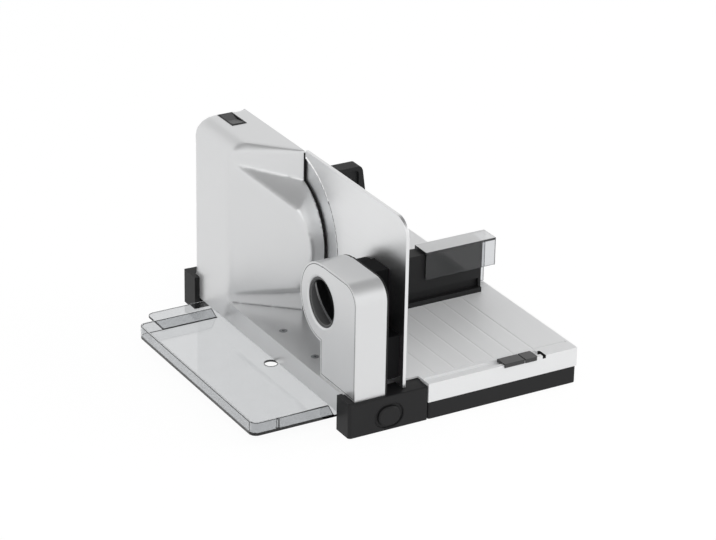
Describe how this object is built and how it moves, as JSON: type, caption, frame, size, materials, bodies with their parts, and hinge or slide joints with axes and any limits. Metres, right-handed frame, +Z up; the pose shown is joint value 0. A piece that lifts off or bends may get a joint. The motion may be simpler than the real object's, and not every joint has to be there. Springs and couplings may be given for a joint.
{
  "type": "electric food slicer",
  "caption": "Electric food slicer: round blade in a hooded motor housing, gauge plate with knob on a column, grooved sliding carriage with remnant holder, slice tray.",
  "frame": {"origin": "middle of the whole outline, on the floor under the feet", "axes": "+X to the carriage side, +Y away from the user along the carriage's travel, +Z up"},
  "size_m": [0.345, 0.3478, 0.21],
  "materials": {
    "black_plastic": "fine matt grain",
    "knob_plastic": "satin",
    "silver_plastic": "silver lacquer on plastic, satin",
    "silver_lacquer": "silver lacquer, satin",
    "table_aluminium": "fine brushed",
    "plate_aluminium": "bright brushed",
    "blade_steel": "turned",
    "bright_steel": "ground",
    "screw_steel": "bright",
    "rotor_steel": "stacked sheet with varnish",
    "bush_bronze": "plain",
    "gear_nylon": "natural",
    "foot_rubber": "matt",
    "soft_rubber": "matt",
    "smoke_clear": "clear smoke plastic, polished"
  },
  "bodies": {
    "base": {"front_cap": "black_plastic", "rear_cap": "black_plastic", "base_beam": "silver_lacquer", "beam_screws": "screw_steel", "carriage_rest": "black_plastic", "rubber_feet": "foot_rubber", "guide_rod": "bright_steel", "motor_housing": "silver_plastic", "gear_frame": "black_plastic", "frame_screws": "screw_steel", "blade_bush": "bush_bronze", "switch_bezel": "black_plastic", "switch_body": "black_plastic", "motor_can": "bright_steel", "column_shell": "silver_plastic", "column_back": "black_plastic", "micro_switch": "black_plastic", "cord_gland": "soft_rubber"},
    "blade": {"blade": "blade_steel", "blade_gear": "gear_nylon", "blade_shaft": "bright_steel", "blade_lock": "blade_steel"},
    "rotor": {"motor_rotor": "rotor_steel", "motor_pinion": "bush_bronze"},
    "plate": {"gauge_plate": "plate_aluminium", "plate_carrier": "black_plastic"},
    "knob": {"thickness_knob": "knob_plastic", "knob_spindle": "bright_steel"},
    "carriage": {"carriage_table": "table_aluminium", "carriage_wall": "black_plastic", "glide_bushes": "gear_nylon", "glide_pads": "gear_nylon", "lock_cover": "knob_plastic"},
    "lock": {"lock_slider": "knob_plastic"},
    "holder": {"remnant_holder": "smoke_clear"},
    "rocker": {"power_rocker": "knob_plastic"},
    "button": {"push_button": "knob_plastic"},
    "tray": {"slice_tray": "smoke_clear"}
  },
  "joints": [
    {"name": "blade_spin", "type": "hinge", "parent": "base", "child": "blade", "pos_m": [-0.0205, 0.05278, 0.1174], "axis": [1, 0, 0], "continuous": true},
    {"name": "motor_spin", "type": "hinge", "parent": "base", "child": "rotor", "pos_m": [-0.0425, 0.09277, 0.1174], "axis": [1, 0, 0], "continuous": true},
    {"name": "plate_slide", "type": "slide", "parent": "base", "child": "plate", "axis": [-1, 0, 0], "range_m": [0, 0.019]},
    {"name": "knob_turn", "type": "hinge", "parent": "base", "child": "knob", "pos_m": [-0.0725, -0.10162, 0.1126], "axis": [-1, 0, 0], "range_deg": [0, 301]},
    {"name": "carriage_slide", "type": "slide", "parent": "base", "child": "carriage", "axis": [0, 1, 0], "range_m": [-0.125, 0.08]},
    {"name": "lock_slide", "type": "slide", "parent": "carriage", "child": "lock", "axis": [1, 0, 0], "range_m": [-0.03, 0]},
    {"name": "holder_slide", "type": "slide", "parent": "carriage", "child": "holder", "axis": [1, 0, 0], "range_m": [-0.035, 0.04]},
    {"name": "rocker_tilt", "type": "hinge", "parent": "base", "child": "rocker", "pos_m": [-0.04605, 0.13912, 0.206], "axis": [1, 0, 0], "range_deg": [-7, 7]},
    {"name": "button_press", "type": "slide", "parent": "base", "child": "button", "axis": [0, 1, 0], "range_m": [0, 0.0025], "stiffness_N_per_m": 400, "springref_m": -0.0005},
    {"name": "tray_slide", "type": "slide", "parent": "base", "child": "tray", "axis": [-1, 0, 0], "range_m": [0, 0.045]}
  ],
  "couplings": [
    {"joint": "motor_spin", "follows": "blade_spin", "ratio": -5.6667},
    {"joint": "knob_turn", "follows": "plate_slide", "rad_per_m": 275.5}
  ]
}
